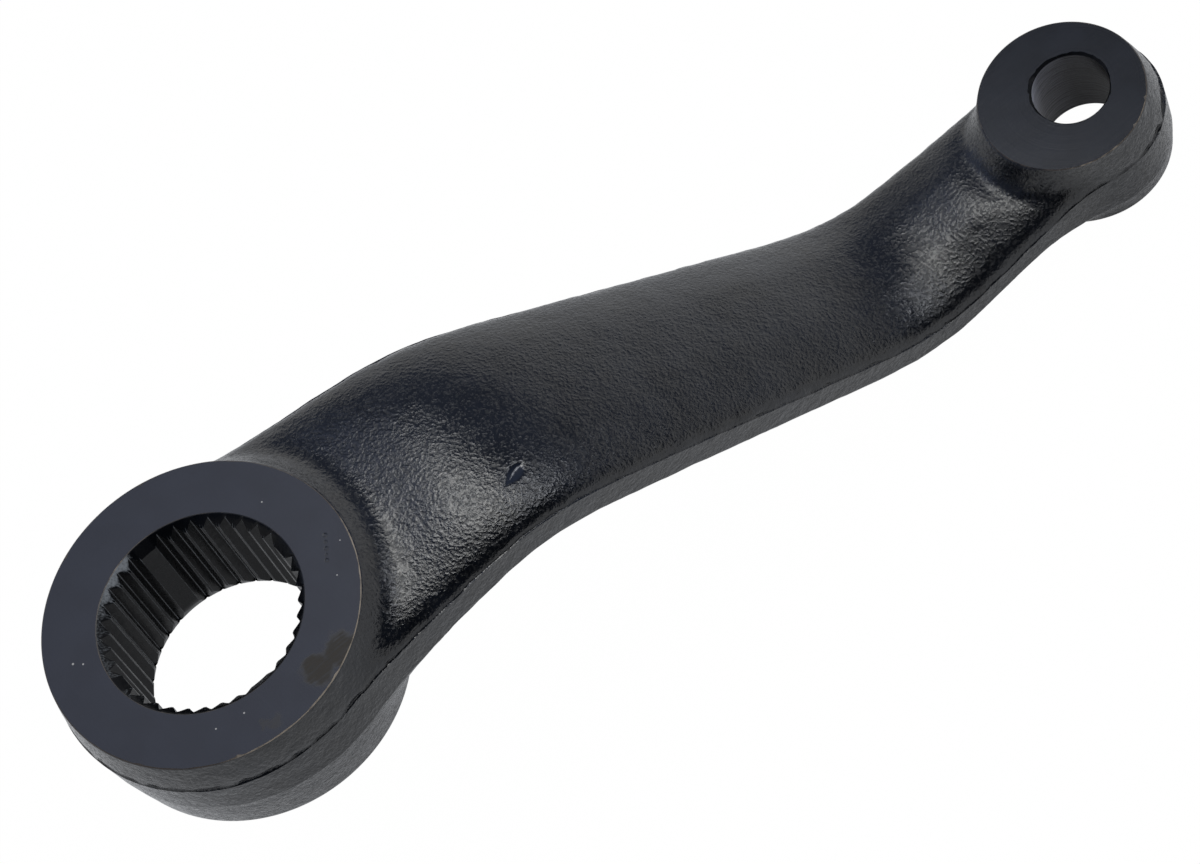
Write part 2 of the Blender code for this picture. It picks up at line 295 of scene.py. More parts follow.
def ring_point(boss, column, radius, depth, shift=0.0):
    """A cage point on a boss.  Columns count round from the arm's side."""
    angle = (column + 0.5) * 2 * math.pi / RING_COLUMNS
    reach = radius * cage_gain()
    return Vector((boss.x + shift + boss.arm_side * reach * math.cos(angle),
                   reach * math.sin(angle), boss.top - depth))


def arm_half_width(x):
    """Half width of the arm's plan at a distance from the hub's axis."""
    share = min(max(x / CENTRE_DISTANCE, 0.0), 1.0)
    return lerp(ARM_EYE_HALF_WIDTH, ARM_HUB_HALF_WIDTH, (1 - share) ** ARM_TAPER_POWER)


def neck_point(boss, column, inset, depth):
    """A cage point where the arm's flank meets the boss."""
    point = ring_point(boss, column, boss.band_bottom_radius, depth)
    point.y = math.copysign(arm_half_width(point.x) - inset, point.y)
    return point


def is_arm_side(column):
    return column <= NECK_COLUMN or column >= RING_COLUMNS - NECK_COLUMN - 1


def is_neck(column):
    return column in (NECK_COLUMN, RING_COLUMNS - NECK_COLUMN - 1)


def wall_row(bm, boss, side, flat, band, station):
    """The row between a flat and the band: fillet foot, arm's shoulder or bare wall."""
    flat_radius, flat_depth, flat_shift = flat
    band_radius, band_depth, band_shift = band
    wall_radius = lerp(flat_radius, band_radius, WALL_BULGE)
    wall_depth = lerp(flat_depth, band_depth, WALL_SHARE)
    wall_shift = lerp(flat_shift, band_shift, WALL_BULGE)
    row = []
    for c in range(RING_COLUMNS):
        if is_neck(c):
            edge_depth = boss.parting - side * (ARM_HALF_THICKNESS - EDGE_DROP)
            point = neck_point(boss, c, SHOULDER_DRAFT, lerp(edge_depth, wall_depth, NECK_SHARE))
        elif is_arm_side(c):
            drop = 0.0 if c in CROWN_COLUMNS else SHOULDER_DROP
            depth = boss.parting - side * (ARM_HALF_THICKNESS - drop)
            point = ring_point(boss, c, flat_radius + FILLET_REACH, depth, flat_shift)
        else:
            point = ring_point(boss, c, wall_radius, wall_depth, wall_shift)
        row.append(cage_vert(bm, point, WALL_ROW * side, station))
    return row


def boss_cage(bm, boss, station):
    """Rows of cage vertices down one boss, open at both machined faces."""
    columns = range(RING_COLUMNS)
    face_flat = (boss.face_radius, 0.0, boss.face_shift)
    back_flat = (boss.back_radius, boss.thickness, boss.lower_shift)
    top_edge = (boss.band_top_radius, boss.band_top, 0.0)
    bottom_edge = (boss.band_bottom_radius, boss.band_bottom, boss.lower_shift)
    rim = [cage_vert(bm, ring_point(boss, c, *face_flat), RIM_ROW, station) for c in columns]
    back = [cage_vert(bm, ring_point(boss, c, *back_flat), -RIM_ROW, station) for c in columns]
    upper = wall_row(bm, boss, 1, face_flat, top_edge, station)
    lower = wall_row(bm, boss, -1, back_flat, bottom_edge, station)
    band_top = band_row(bm, boss, top_edge, BAND_ROW, station)
    band_bottom = band_row(bm, boss, bottom_edge, -BAND_ROW, station)
    for c in columns:
        following = (c + 1) % RING_COLUMNS
        bm.faces.new((rim[c], rim[following], upper[following], upper[c]))
        bm.faces.new((lower[c], lower[following], back[following], back[c]))
    for row, below in ((upper, band_top), (band_top, band_bottom), (band_bottom, lower)):
        for c in FAR_COLUMNS:
            bm.faces.new((row[c], row[c + 1], below[c + 1], below[c]))
    for row in (band_top, band_bottom):
        crease_path(bm, [row[c] for c in sorted(row)])
    return upper, band_top, band_bottom, lower


def band_row(bm, boss, edge, row_value, station):
    """One edge of the trimmed band, from neck to neck round the far side."""
    radius, depth, shift = edge
    row = {}
    for c in range(NECK_COLUMN, RING_COLUMNS - NECK_COLUMN):
        if is_neck(c):
            point = neck_point(boss, c, 0.0, depth)
        else:
            point = ring_point(boss, c, radius, depth, shift)
        row[c] = cage_vert(bm, point, row_value, station)
    return row


def crease_path(bm, verts):
    crease = bm.edges.layers.float["crease_edge"]
    for first, second in zip(verts, verts[1:]):
        bm.edges.get((first, second))[crease] = 1.0


def neck_section(rows):
    """The closed section through which a boss opens into the arm."""
    upper, band_top, band_bottom, lower = rows
    plus, minus = NECK_COLUMN, RING_COLUMNS - NECK_COLUMN - 1
    return ([upper[c] for c in ARM_COLUMNS] + [band_top[plus], band_bottom[plus]]
            + [lower[c] for c in reversed(ARM_COLUMNS)] + [band_bottom[minus], band_top[minus]])


def arm_path():
    """Stations of the arm as (x, z, tilt, bow): flat, a straight drop, flat again."""
    start, end = ARM_BEND_FROM_HUB, CENTRE_DISTANCE - ARM_BEND_FROM_EYE
    hub_z, eye_z = HUB.top - HUB.parting, EYE.top - EYE.parting
    fall = (hub_z - eye_z) / (end - start)
    spread = ARM_BEND_SPREAD
    corner_tilt = math.atan(fall) / 2
    hub_bow = -HUB.face_radius * LANDING_BOW
    eye_bow = EYE.face_radius * LANDING_BOW
    return [(ARM_LANDING_AT_HUB, hub_z, 0.0, hub_bow),
            (start, hub_z, corner_tilt, 0.0),
            (start + spread, hub_z - fall * spread, 2 * corner_tilt, 0.0),
            (end - spread, eye_z + fall * spread, 2 * corner_tilt, 0.0),
            (end, eye_z, corner_tilt, 0.0),
            (CENTRE_DISTANCE - ARM_LEVEL_FROM_EYE, eye_z, 0.0, 0.0),
            (CENTRE_DISTANCE - ARM_LANDING_AT_EYE, eye_z + ARM_LANDING_RISE, 0.0, eye_bow)]


def arm_section(bm, station, x, z, tilt, bow):
    """One closed section of the arm, square to its path."""
    half_width = arm_half_width(x + bow)
    half_band = lerp(ARM_BAND_AT_HUB, ARM_BAND_AT_EYE, x / CENTRE_DISTANCE) / 2
    up = Vector((math.sin(tilt), 0.0, math.cos(tilt)))
    right_face = [(half_width * CROWN_SHARE, ARM_HALF_THICKNESS),
                  (half_width - SHOULDER_WIDTH, ARM_HALF_THICKNESS - SHOULDER_DROP),
                  (half_width - SHOULDER_DRAFT, ARM_HALF_THICKNESS - EDGE_DROP)]
    left_face = [(-y, height) for y, height in reversed(right_face)]
    half = [(y, height, WALL_ROW) for y, height in left_face + right_face]
    half += [(half_width, half_band, BAND_ROW), (half_width, -half_band, -BAND_ROW)]
    section = half + [(-y, -height, -row) for y, height, row in half]
    return [cage_vert(bm, Vector((x + bow * (y / half_width) ** 2, y, z)) + up * height,
                      row, station) for y, height, row in section]


def bridge(bm, first, second):
    for i in range(len(first)):
        j = (i + 1) % len(first)
        bm.faces.new((first[i], first[j], second[j], second[i]))


def forging_cage():
    """The whole rough forging as a coarse cage that carries its row and station."""
    bm = bmesh.new()
    bm.edges.layers.float.new("crease_edge")
    bm.verts.layers.float.new("dent")
    bm.verts.layers.float.new("row")
    bm.verts.layers.float.new("station")
    path = arm_path()
    hub_rows = boss_cage(bm, HUB, 0.0)
    eye_rows = boss_cage(bm, EYE, float(len(path) + 1))
    sections = [neck_section(hub_rows)]
    sections += [arm_section(bm, i + 1.0, *station) for i, station in enumerate(path)]
    sections.append(neck_section(eye_rows))
    for first, second in zip(sections, sections[1:]):
        bridge(bm, first, second)
    face_points = len(ARM_COLUMNS)
    for edge_point in (face_points, face_points + 1, -2, -1):
        crease_path(bm, [section[edge_point] for section in sections])
    bmesh.ops.recalc_face_normals(bm, faces=bm.faces)
    return bm


def subdivided(bm):
    """The cage's smooth form as a new bmesh, with its row and station on each vertex."""
    mesh = bpy.data.meshes.new("cage")
    bm.to_mesh(mesh)
    bm.free()
    cage = new_object("cage", mesh)
    smooth = cage.modifiers.new("forged_form", "SUBSURF")
    smooth.levels = SUBDIVISIONS
    smooth.render_levels = SUBDIVISIONS
    bpy.context.view_layer.update()
    evaluated = cage.evaluated_get(bpy.context.evaluated_depsgraph_get())
    fine = bmesh.new()
    fine.from_mesh(evaluated.to_mesh())
    evaluated.to_mesh_clear()
    bpy.data.objects.remove(cage, do_unlink=True)
    bpy.data.meshes.remove(mesh)
    return fine


def refine_slope(bm):
    """Halves the long edges between two far stations, so that the skin is even."""
    station = bm.verts.layers.float["station"]
    low, high = FINE_STATIONS
    edges = [e for e in bm.edges
             if abs(e.verts[0][station] - e.verts[1][station]) > ROW_GAP / 10
             and low - ROW_GAP < min(v[station] for v in e.verts)
             and max(v[station] for v in e.verts) < high + ROW_GAP]
    bmesh.ops.subdivide_edges(bm, edges=edges, cuts=1, use_grid_fill=True)


def refine_dent(bm):
    """Splits the faces round the small dent, so that the mesh can hold its shape."""
    centre = (DENT_START + DENT_END) / 2
    reach = (DENT_START - DENT_END).length / 2 + DENT_HALF_WIDTH
    edges = [e for e in bm.edges if ((e.verts[0].co + e.verts[1].co) / 2 - centre).length < reach]
    bmesh.ops.subdivide_edges(bm, edges=edges, cuts=2, use_grid_fill=True)


# Relief of the skin

def swell(points, size, seed):
    """Smooth noise from -1 to 1 at each point, with swells of about this size."""
    away = Vector((seed * 7.3, seed * 3.1, seed * 5.7))
    return np.array([noise.noise(Vector(p) / size + away) for p in points])


def rim_distance(points):
    """Distance from each point to the nearest machined face's rim."""
    nearest = np.full(len(points), 1.0)
    for flat in (HUB_TOP, HUB_UNDER, EYE_TOP, EYE_UNDER):
        radius = np.hypot(points[:, 0] - flat.x, points[:, 1])
        away = np.hypot(radius - flat.radius, points[:, 2] - flat.height)
        nearest = np.minimum(nearest, away)
    return nearest


def loop_distance(points, loop_points):
    tree = kdtree.KDTree(len(loop_points))
    for i, p in enumerate(loop_points):
        tree.insert(p, i)
    tree.balance()
    return np.array([tree.find(p)[2] for p in points])


def dent_depth(points):
    """Depth of the leaf-shaped dent at each point."""
    start, axis = np.array(DENT_START), np.array(DENT_END - DENT_START)
    length = np.linalg.norm(axis)
    along = (points - start) @ axis / length ** 2
    side = np.linalg.norm(points - start - np.outer(along, axis), axis=1)
    leaf = np.sin(np.pi * np.clip(along, 0.0, 1.0) ** 0.8)
    width = np.maximum(DENT_HALF_WIDTH * leaf, 1e-9)
    return DENT_DEPTH * leaf ** 0.5 * smooth_step(1.1 - side / width)


def recess_gain(points):
    """How much deeper the flash step is at each point."""
    turn = np.arctan2(points[:, 1], points[:, 0] - EYE.x)
    toward = np.clip(np.cos(turn - EYE_RECESS_TURN), 0, 1) ** 3
    near_eye = smooth_step((points[:, 0] - EYE.x + EYE_RECESS_LEAD) / EYE_RECESS_RUN)
    return 1 + EYE_RECESS_GAIN * toward * near_eye


def relieve(bm):
    """Moves the skin off its smooth form: swells, flash step and dent."""
    bm.normal_update()
    row_layer = bm.verts.layers.float["row"]
    points = np.array([v.co for v in bm.verts])
    normals = np.array([v.normal for v in bm.verts])
    rows = np.array([v[row_layer] for v in bm.verts])
    fade = smooth_step(rim_distance(points) / RIM_FADE)
    on_band = np.abs(rows) < BAND_ROW + ROW_GAP
    top_gap = loop_distance(points, points[np.abs(rows - BAND_ROW) < ROW_GAP])
    bottom_gap = loop_distance(points, points[np.abs(rows + BAND_ROW) < ROW_GAP])
    height = sum(swell(points, size, i + 1) * depth for i, (size, depth) in enumerate(SWELLS))
    height *= np.where(on_band, BAND_RELIEF, 1.0) * fade
    ragged = FLASH_RAG_MEAN + FLASH_RAG_SWING * swell(points, FLASH_WAVE / 2, FLASH_SEED)
    step = np.clip(top_gap / FLASH_LIP, 0, 1) * np.exp(-top_gap / FLASH_REACH)
    step = np.where(rows > BAND_ROW + ROW_GAP, step, 0.0)
    ragged = np.clip(ragged, *FLASH_RAG_BOUNDS)
    height -= FLASH_STEP * ragged * step * fade * recess_gain(points)
    dented = dent_depth(points)
    height -= dented
    moved = points + normals * height[:, None]
    for gap, seed in ((top_gap, BAND_TOP_SEED), (bottom_gap, BAND_BOTTOM_SEED)):
        wander = swell(points, FLASH_WAVE, seed) + 0.5 * swell(points, FLASH_WAVE / 3, seed + 5)
        moved[:, 2] += FLASH_WANDER * wander * np.exp(-(gap / RIM_FADE) ** 2) * fade
    inside = np.clip(moved, np.array(cad_low), np.array(cad_high))
    dent_layer = bm.verts.layers.float["dent"]
    for vert, place, depth in zip(bm.verts, inside, dented):
        vert.co = place
        vert[dent_layer] = min(1.0, 2 * depth / DENT_DEPTH)


# The finished mesh

class Builder:
    """Gathers vertices with their wear and painted sheen, and faces with their material."""

    def __init__(self):
        self.points, self.wear_and_sheen, self.faces, self.materials = [], [], [], []

    def ring(self, points, wear_and_sheen=None):
        first = len(self.points)
        self.points.extend(Vector(p) for p in points)
        count = len(self.points) - first
        self.wear_and_sheen.extend(wear_and_sheen if wear_and_sheen is not None else [0.0] * count)
        return list(range(first, len(self.points)))

    def add(self, face, material):
        self.faces.append(face)
        self.materials.append(material)

    def strip(self, first, second, material):
        """Quads between two rings of the same length."""
        for i in range(len(first)):
            j = (i + 1) % len(first)
            self.add((first[i], first[j], second[j], second[i]), material)

    def zip(self, first, second, centre, material):
        """Triangles between two rings of different lengths round one centre."""
        first, second = self.sorted_ring(first, centre), self.sorted_ring(second, centre)
        i = j = 0
        while i < len(first) or j < len(second):
            a, b = first[i % len(first)], second[j % len(second)]
            next_a, next_b = first[(i + 1) % len(first)], second[(j + 1) % len(second)]
            turn_a = next_a[0] + 2 * math.pi * ((i + 1) // len(first))
            turn_b = next_b[0] + 2 * math.pi * ((j + 1) // len(second))
            if j >= len(second) or (i < len(first) and turn_a <= turn_b):
                self.add((a[1], next_a[1], b[1]), material)
                i += 1
            else:
                self.add((a[1], next_b[1], b[1]), material)
                j += 1

    def sorted_ring(self, ring, centre):
        turns = [math.atan2(self.points[v].y, self.points[v].x - centre) for v in ring]
        return sorted(zip(turns, ring))


def rim_loop(builder, bm, index_of, flat):
    """The shell's own vertices round a machined face, in order, on a true circle."""
    verts = [v for v in bm.verts if v.is_boundary and abs(v.co.z - flat.height) < MM
             and abs(v.co.x - flat.x) < 2 * flat.radius]
    verts.sort(key=lambda v: math.atan2(v.co.y, v.co.x - flat.x))
    loop = [index_of[v.index] for v in verts]
    for v in loop:
        turn = math.atan2(builder.points[v].y, builder.points[v].x - flat.x)
        builder.points[v] = Vector((flat.x + flat.radius * math.cos(turn),
                                    flat.radius * math.sin(turn),
                                    flat.height - flat.side * BREAK_FALL))
        builder.wear_and_sheen[v] = wear_and_sheen_at(flat.wear_and_sheen, turn)
    return loop


def chip_width(flat, turn):
    """How far a chip widens the broken edge at this angle."""
    width = 0.0
    for chip in flat.chips:
        gap = abs((turn - math.radians(chip) + math.pi) % (2 * math.pi) - math.pi)
        width = max(width, CHIP_DEPTH * max(0.0, 1 - gap / CHIP_HALF_ANGLE))
    return width


def break_loop(builder, flat, loop):
    """The inner line of the broken edge, uneven and with a few chips."""
    points, wear_and_sheen = [], []
    for v in loop:
        rim = builder.points[v]
        turn = math.atan2(rim.y, rim.x - flat.x)
        rag = 0.75 + 0.5 * noise.noise(Vector((rim.x, rim.y, flat.height)) / (2.2 * MM))
        radius = flat.radius - EDGE_BREAK * rag - chip_width(flat, turn)
        points.append((flat.x + radius * math.cos(turn), radius * math.sin(turn), flat.height))
        wear_and_sheen.append(wear_and_sheen_at(flat.wear_and_sheen, turn))
    return builder.ring(points, wear_and_sheen)


def machined_face(builder, flat, outer, bore_x, bore_radius, bore_ring):
    """The flat ring from the broken edge in to the bore's own lead-in ring."""
    ring = outer
    turns = [2 * math.pi * (i + 0.5) / len(outer) - math.pi for i in range(len(outer))]
    for share in FACE_RING_SHARES:
        centre = lerp(flat.x, bore_x, share)
        radius = lerp(flat.radius - 2 * EDGE_BREAK, bore_radius, share)
        inner = builder.ring((centre + radius * math.cos(t), radius * math.sin(t), flat.height)
                             for t in turns)
        builder.zip(ring, inner, centre, FACE)
        ring = inner
    builder.zip(ring, bore_ring, bore_x, FACE)


@dataclass
class ProfilePoint:
    """A point of the splined bore's outline; blind where its groove is left out."""
    turn: float
    radius: float
    wear_and_sheen: float
    blind: bool


# Which point of groove_half is the sharp edge of the land
LAND_EDGE = 6


def groove_half():
    """(angle, rise) from a groove's root at 0 to the middle of its land at 1."""
    crest, root = SPLINE_CREST_RADIUS, SPLINE_CREST_RADIUS + SPLINE_DEPTH
    half_pitch = math.pi / SPLINE_PITCHES
    foot = SPLINE_ROOT_FLAT / 2 / root
    edge = half_pitch - SPLINE_CREST_FLAT / 2 / crest
    flank = edge - foot
    return [(0.0, 0.0), (foot, 0.015), (foot + flank * 0.08, 0.085), (foot + flank * 0.35, 0.35),
            (foot + flank * 0.66, 0.66), (edge - flank * 0.07, 0.93), (edge, 0.99),
            (edge + (half_pitch - edge) * 0.4, 1.0), (half_pitch, 1.0)]


def spline_profile():
    """The points round the splined bore, a groove and a land a pitch."""
    pitch = 2 * math.pi / SPLINE_PITCHES
    blind_every = SPLINE_PITCHES // SPLINE_BLIND_COUNT
    half = groove_half()
    # Painted highlight lines: the groove's root and the land's sharp edge are turned toward steel
    # grey, where those edges catch the light.
    wear_and_sheen = [GROOVE_ROOT_HIGHLIGHT] + [0.0] * (len(half) - 1)
    wear_and_sheen[LAND_EDGE] = LAND_EDGE_HIGHLIGHT
    groove = [(-turn, rise, wear_and_sheen_share) for (turn, rise), wear_and_sheen_share in list(zip(half, wear_and_sheen))[-2:0:-1]]
    groove += [(turn, rise, wear_and_sheen_share) for (turn, rise), wear_and_sheen_share in zip(half, wear_and_sheen)]
    profile = []
    for i in range(SPLINE_PITCHES):
        middle = i * pitch + math.radians(SPLINE_TURN_DEGREES)
        blind = i % blind_every == 0
        for turn, rise, wear_and_sheen_share in groove:
            depth = 0.0 if blind else SPLINE_DEPTH * (1 - rise)
            profile.append(ProfilePoint(middle + turn, SPLINE_CREST_RADIUS + depth,
                                        0.0 if blind else wear_and_sheen_share, blind))
    return profile


def bore_ring(builder, x, places, wear_and_sheen=None):
    """A ring of (angle, radius, height) places round a bore at x."""
    return builder.ring(((x + r * math.cos(t), r * math.sin(t), z) for t, r, z in places), wear_and_sheen)


def back_lead(radius):
    """Height at which the back lead-in reaches this radius."""
    slope = HUB_BACK_LEAD_DEPTH / HUB_BACK_LEAD_WIDTH
    reach = max(0.0, SPLINE_CREST_RADIUS + HUB_BACK_LEAD_WIDTH - radius)
    return HUB.back + reach * slope


def chamfer_rows(profile):
    """Rows down the hub's chamfer, each a ring of places and its wear."""
    top = SPLINE_CREST_RADIUS + HUB_TOP_CHAMFER
    rows = [([(p.turn, top + BORE_EDGE_BREAK, HUB.top) for p in profile],
             [wear_and_sheen_at(BORE_EDGE_WEAR, p.turn) for p in profile])]
    # Wear with a painted highlight on part of the chamfer.
    wear_and_sheen = [0.0 if p.blind else wear_and_sheen_at(CHAMFER_WEAR_AND_HIGHLIGHT, p.turn) for p in profile]
    for share in CHAMFER_SHARES:
        edge = HUB.top - BORE_EDGE_BREAK * (share == 0) / 2
        rows.append(([(p.turn, lerp(top, p.radius, share), edge - lerp(0, top - p.radius, share))
                      for p in profile], wear_and_sheen))
    return rows


def wall_rows(profile):
    """Rows down the grooves and through the back lead-in, where paint fills their ends."""
    top = SPLINE_CREST_RADIUS + HUB_TOP_CHAMFER
    lead = SPLINE_CREST_RADIUS + HUB_BACK_LEAD_WIDTH
    wear_and_sheen = [p.wear_and_sheen for p in profile]
    ends = [(HUB.top - (top - p.radius), back_lead(p.radius)) for p in profile]
    rows = []
    for s in range(SPLINE_ROWS + 1):
        rows.append(([(p.turn, p.radius, lerp(start, end, s / SPLINE_ROWS))
                      for p, (start, end) in zip(profile, ends)], wear_and_sheen))
    for share in FILL_SHARES:
        rows.append(([(p.turn, lerp(p.radius, max(p.radius - GROOVE_FILL, lead), share),
                       lerp(back_lead(p.radius), HUB.back, share)) for p in profile], None))
    return rows


def splined_bore(builder):
    """Chamfer, grooved wall and back lead-in.  Returns the two outer rings."""
    profile = spline_profile()
    chamfer = chamfer_rows(profile)
    rings = [bore_ring(builder, HUB.x, places, wear_and_sheen)
             for places, wear_and_sheen in chamfer + wall_rows(profile)]
    for row, (upper, lower) in enumerate(zip(rings, rings[1:])):
        for i in range(len(profile)):
            j = (i + 1) % len(profile)
            clotted = 0 < row < len(chamfer) and (profile[i].blind or profile[j].blind)
            kind = RIM if row == 0 else CLOT if clotted else BORE
            builder.add((upper[i], upper[j], lower[j], lower[i]), kind)
    return rings[0], rings[-1]


def clot_width(turn):
    """How far the paint clotted on the small bore's edge spreads at this angle."""
    here = (math.cos(turn) * 2.2, math.sin(turn) * 2.2, 0.7)
    fine = (math.cos(turn) * 7.0, math.sin(turn) * 7.0, 3.1)
    toward = max(0.0, math.cos(turn - CLOT_TURN)) ** 6
    return EYE_BORE_CHAMFER * (0.9 + 0.5 * noise.noise(here) + 0.4 * noise.noise(fine)
                               + 0.7 * toward * (1 + noise.noise(fine)))


def tapered_bore(builder):
    """Clotted lead-in and a wall that widens to the back.  Returns the two outer rings."""
    turns = [2 * math.pi * i / EYE_BORE_COLUMNS for i in range(EYE_BORE_COLUMNS)]
    # Painted reflection share round the small bore's wall.
    wear_and_sheen = [wear_and_sheen_at(EYE_BORE_REFLECTION, t) for t in turns]
    rings = [bore_ring(builder, EYE.x, [(t, EYE_BORE_RADIUS + clot_width(t), EYE.top)
                                        for t in turns])]
    for s in range(EYE_BORE_ROWS + 1):
        depth = lerp(EYE_BORE_CHAMFER, EYE.thickness, s / EYE_BORE_ROWS)
        radius = EYE_BORE_RADIUS + EYE_BORE_TAPER * depth
        rings.append(bore_ring(builder, EYE.x, [(t, radius, EYE.top - depth) for t in turns], wear_and_sheen))
    for row, (upper, lower) in enumerate(zip(rings, rings[1:])):
        builder.strip(upper, lower, CLOT if row == 0 else SMALL_BORE)
    return rings[0], rings[-1]


def is_band_edge(edge, row):
    """Whether an edge runs along the top or bottom line of the trimmed band."""
    first, second = (vert[row] for vert in edge.verts)
    return abs(abs(first) - BAND_ROW) < ROW_GAP and abs(first - second) < ROW_GAP


def forged_shell(builder):
    """Adds the relieved skin.  Returns its four rim loops and the band's edges."""
    bm = subdivided(forging_cage())
    refine_slope(bm)
    refine_dent(bm)
    relieve(bm)
    bm.verts.index_update()
    dent_layer = bm.verts.layers.float["dent"]
    # The dent's share rides in the wear and sheen channel, where it paints the dent's bluish
    # painted reflection.
    index_of = builder.ring((v.co for v in bm.verts), [v[dent_layer] for v in bm.verts])
    for face in bm.faces:
        builder.add(tuple(index_of[v.index] for v in face.verts), SKIN)
    row = bm.verts.layers.float["row"]
    edges = [(index_of[e.verts[0].index], index_of[e.verts[1].index])
             for e in bm.edges if is_band_edge(e, row)]
    loops = [rim_loop(builder, bm, index_of, flat)
             for flat in (HUB_TOP, HUB_UNDER, EYE_TOP, EYE_UNDER)]
    bm.free()
    return loops, edges


def finished_mesh():
    """The whole forging as one closed mesh."""
    builder = Builder()
    loops, band_edges = forged_shell(builder)
    hub_rings, eye_rings = splined_bore(builder), tapered_bore(builder)
    ends = ((HUB_TOP, HUB.x, SPLINE_CREST_RADIUS + HUB_TOP_CHAMFER + BORE_EDGE_BREAK, hub_rings[0]),
            (HUB_UNDER, HUB.x, SPLINE_CREST_RADIUS + SPLINE_DEPTH, hub_rings[1]),
            (EYE_TOP, EYE.x, EYE_BORE_RADIUS + EYE_BORE_CHAMFER, eye_rings[0]),
            (EYE_UNDER, EYE.x, EYE_BORE_RADIUS + EYE_BORE_TAPER * EYE.thickness, eye_rings[1]))
    for loop, (flat, bore_x, bore_radius, ring) in zip(loops, ends):
        inner = break_loop(builder, flat, loop)
        builder.strip(loop, inner, RIM)
        machined_face(builder, flat, inner, bore_x, bore_radius, ring)
    mesh = bpy.data.meshes.new("pitman_arm_forging")
    mesh.from_pydata([tuple(p) for p in builder.points], [], builder.faces)
    mesh.polygons.foreach_set("material_index", builder.materials)
    mesh.attributes.new("wear_and_sheen", "FLOAT", "POINT").data.foreach_set("value", builder.wear_and_sheen)
    return mesh, band_edges


def shade(mesh, band_edges):
    """Smooth skin with crisp lines at the band, the machined faces and the teeth."""
    bm = bmesh.new()
    bm.from_mesh(mesh)
    bmesh.ops.recalc_face_normals(bm, faces=bm.faces)
    bm.verts.ensure_lookup_table()
    for face in bm.faces:
        face.smooth = True
    for edge in bm.edges:
        if len(edge.link_faces) == 2:
            kinds = {f.material_index for f in edge.link_faces}
            hard = len(kinds) > 1 or (kinds != {SKIN} and edge.calc_face_angle() > math.radians(28))
            edge.smooth = not hard
    for a, b in band_edges:
        edge = bm.edges.get((bm.verts[a], bm.verts[b]))
        edge.smooth = False
    bm.to_mesh(mesh)
    bm.free()


# Materials

PAINT_DEEP = (0.0020, 0.0024, 0.0034, 1.0)
PAINT_PALE = (0.0045, 0.0055, 0.0080, 1.0)
# Painted reflection: the dent's smooth hollow is coloured bluer than the paint round it.
DENT_REFLECTION_BLUE = (0.0070, 0.0100, 0.0180, 1.0)
STAIN_BROWN = (0.023, 0.018, 0.011, 1.0)
SPECK_GREY = (0.30, 0.29, 0.27, 1.0)
BARE_BROWN = (0.040, 0.030, 0.022, 1.0)
BARE_CREAM = (0.20, 0.165, 0.125, 1.0)
# Steel grey for wear on the chamfer and for the painted highlight lines along groove roots and land
# edges.
STEEL_WEAR_AND_HIGHLIGHT = (0.165, 0.175, 0.185, 1.0)
# Painted shade: the splined bore's paint is darker than the outer paint.
BORE_SHADE_BLACK = (0.0012, 0.0016, 0.0024, 1.0)
REAMED_DEEP = (0.0025, 0.003, 0.004, 1.0)
# Painted reflection: the pale grey of the small bore's wall on the hub's side.
BORE_REFLECTION_PALE = (0.78, 0.78, 0.86, 1.0)
THIN_PAINT_SPECULAR, REAMED_SPECULAR = 0.12, 0.15

# Forged skin: sizes and depths of its grain and wrinkles, which are deepest on the walls
GRAIN_SIZE, GRAIN_DEPTH = 0.56 * MM, 0.12 * MM
GRAIN_BEND_SIZE, GRAIN_BEND = 1.6 * MM, 0.5 * MM
GRAIN_LOW, GRAIN_HIGH = 0.32, 0.58
WRINKLE_SIZE, WRINKLE_ON_WALL, WRINKLE_ON_FLAT = 2.4 * MM, 0.24 * MM, 0.09 * MM
WALL_FACING, FLAT_FACING = 0.25, 0.80
PIT_ROUGHNESS, SWELL_ROUGHNESS = 0.37, 0.11
PAINT_PATCH_SIZE = 9 * MM

# Where along the arm the gloss grows dull toward the eye, and by how much
DULL_FROM, DULL_TO, DULLED = 0.100, 0.135, 0.09

# Machined faces: haze, drawn streaks on the hub and lathe rings on the eye
HAZE_SIZE, HAZE_DEPTH = 7 * MM, 0.016 * MM
STREAK_SIZE, STREAK_DEPTH, STREAK_TURN = 0.45 * MM, 0.007 * MM, math.radians(44)
LATHE_SIZE, LATHE_DEPTH = 0.40 * MM, 0.008 * MM
TICK_DEPTH = -0.10 * MM
FACE_ROUGHNESS, STAIN_ROUGHNESS = 0.21, 0.75

# Marks on the hub's face, (x, y, radius)
BROWN_PATCHES = ((0.0084, -0.0213, 0.0026), (0.0128, -0.0212, 0.0028))
SMUDGES = ((-0.0018, -0.0236, 0.0014), (-0.0034, -0.0226, 0.0008))
SPECKS = ((0.0182, 0.0084, 0.00013), (-0.0200, 0.0074, 0.00018), (-0.0188, 0.0062, 0.00015),
          (-0.0093, -0.0179, 0.00014), (0.0235, -0.0060, 0.00011), (0.0197, -0.0105, 0.00012),
          (-0.0045, -0.0189, 0.00015))
TICKS = ((0.0223, -0.0036, 0.00030), (0.0217, -0.0046, 0.00024), (0.0211, -0.0056, 0.00030),
         (0.0205, -0.0065, 0.00022), (0.0200, -0.0073, 0.00030))


def new_material(name):
    material = bpy.data.materials.new(name)
    material.use_nodes = True
    tree = material.node_tree
    return material, tree, tree.nodes["Principled BSDF"]


def add_node(tree, kind, inputs=(), **settings):
    """A node with its settings and its inputs."""
    made = tree.nodes.new(kind)
    for key, value in settings.items():
        setattr(made, key, value)
    fill(tree, made, inputs)
    return made


def fill(tree, node, inputs):
    """Gives a node its inputs, each a value or another node's socket."""
    for key, value in dict(inputs).items():
        if isinstance(value, bpy.types.NodeSocket):
            tree.links.new(value, node.inputs[key])
        else:
            node.inputs[key].default_value = value


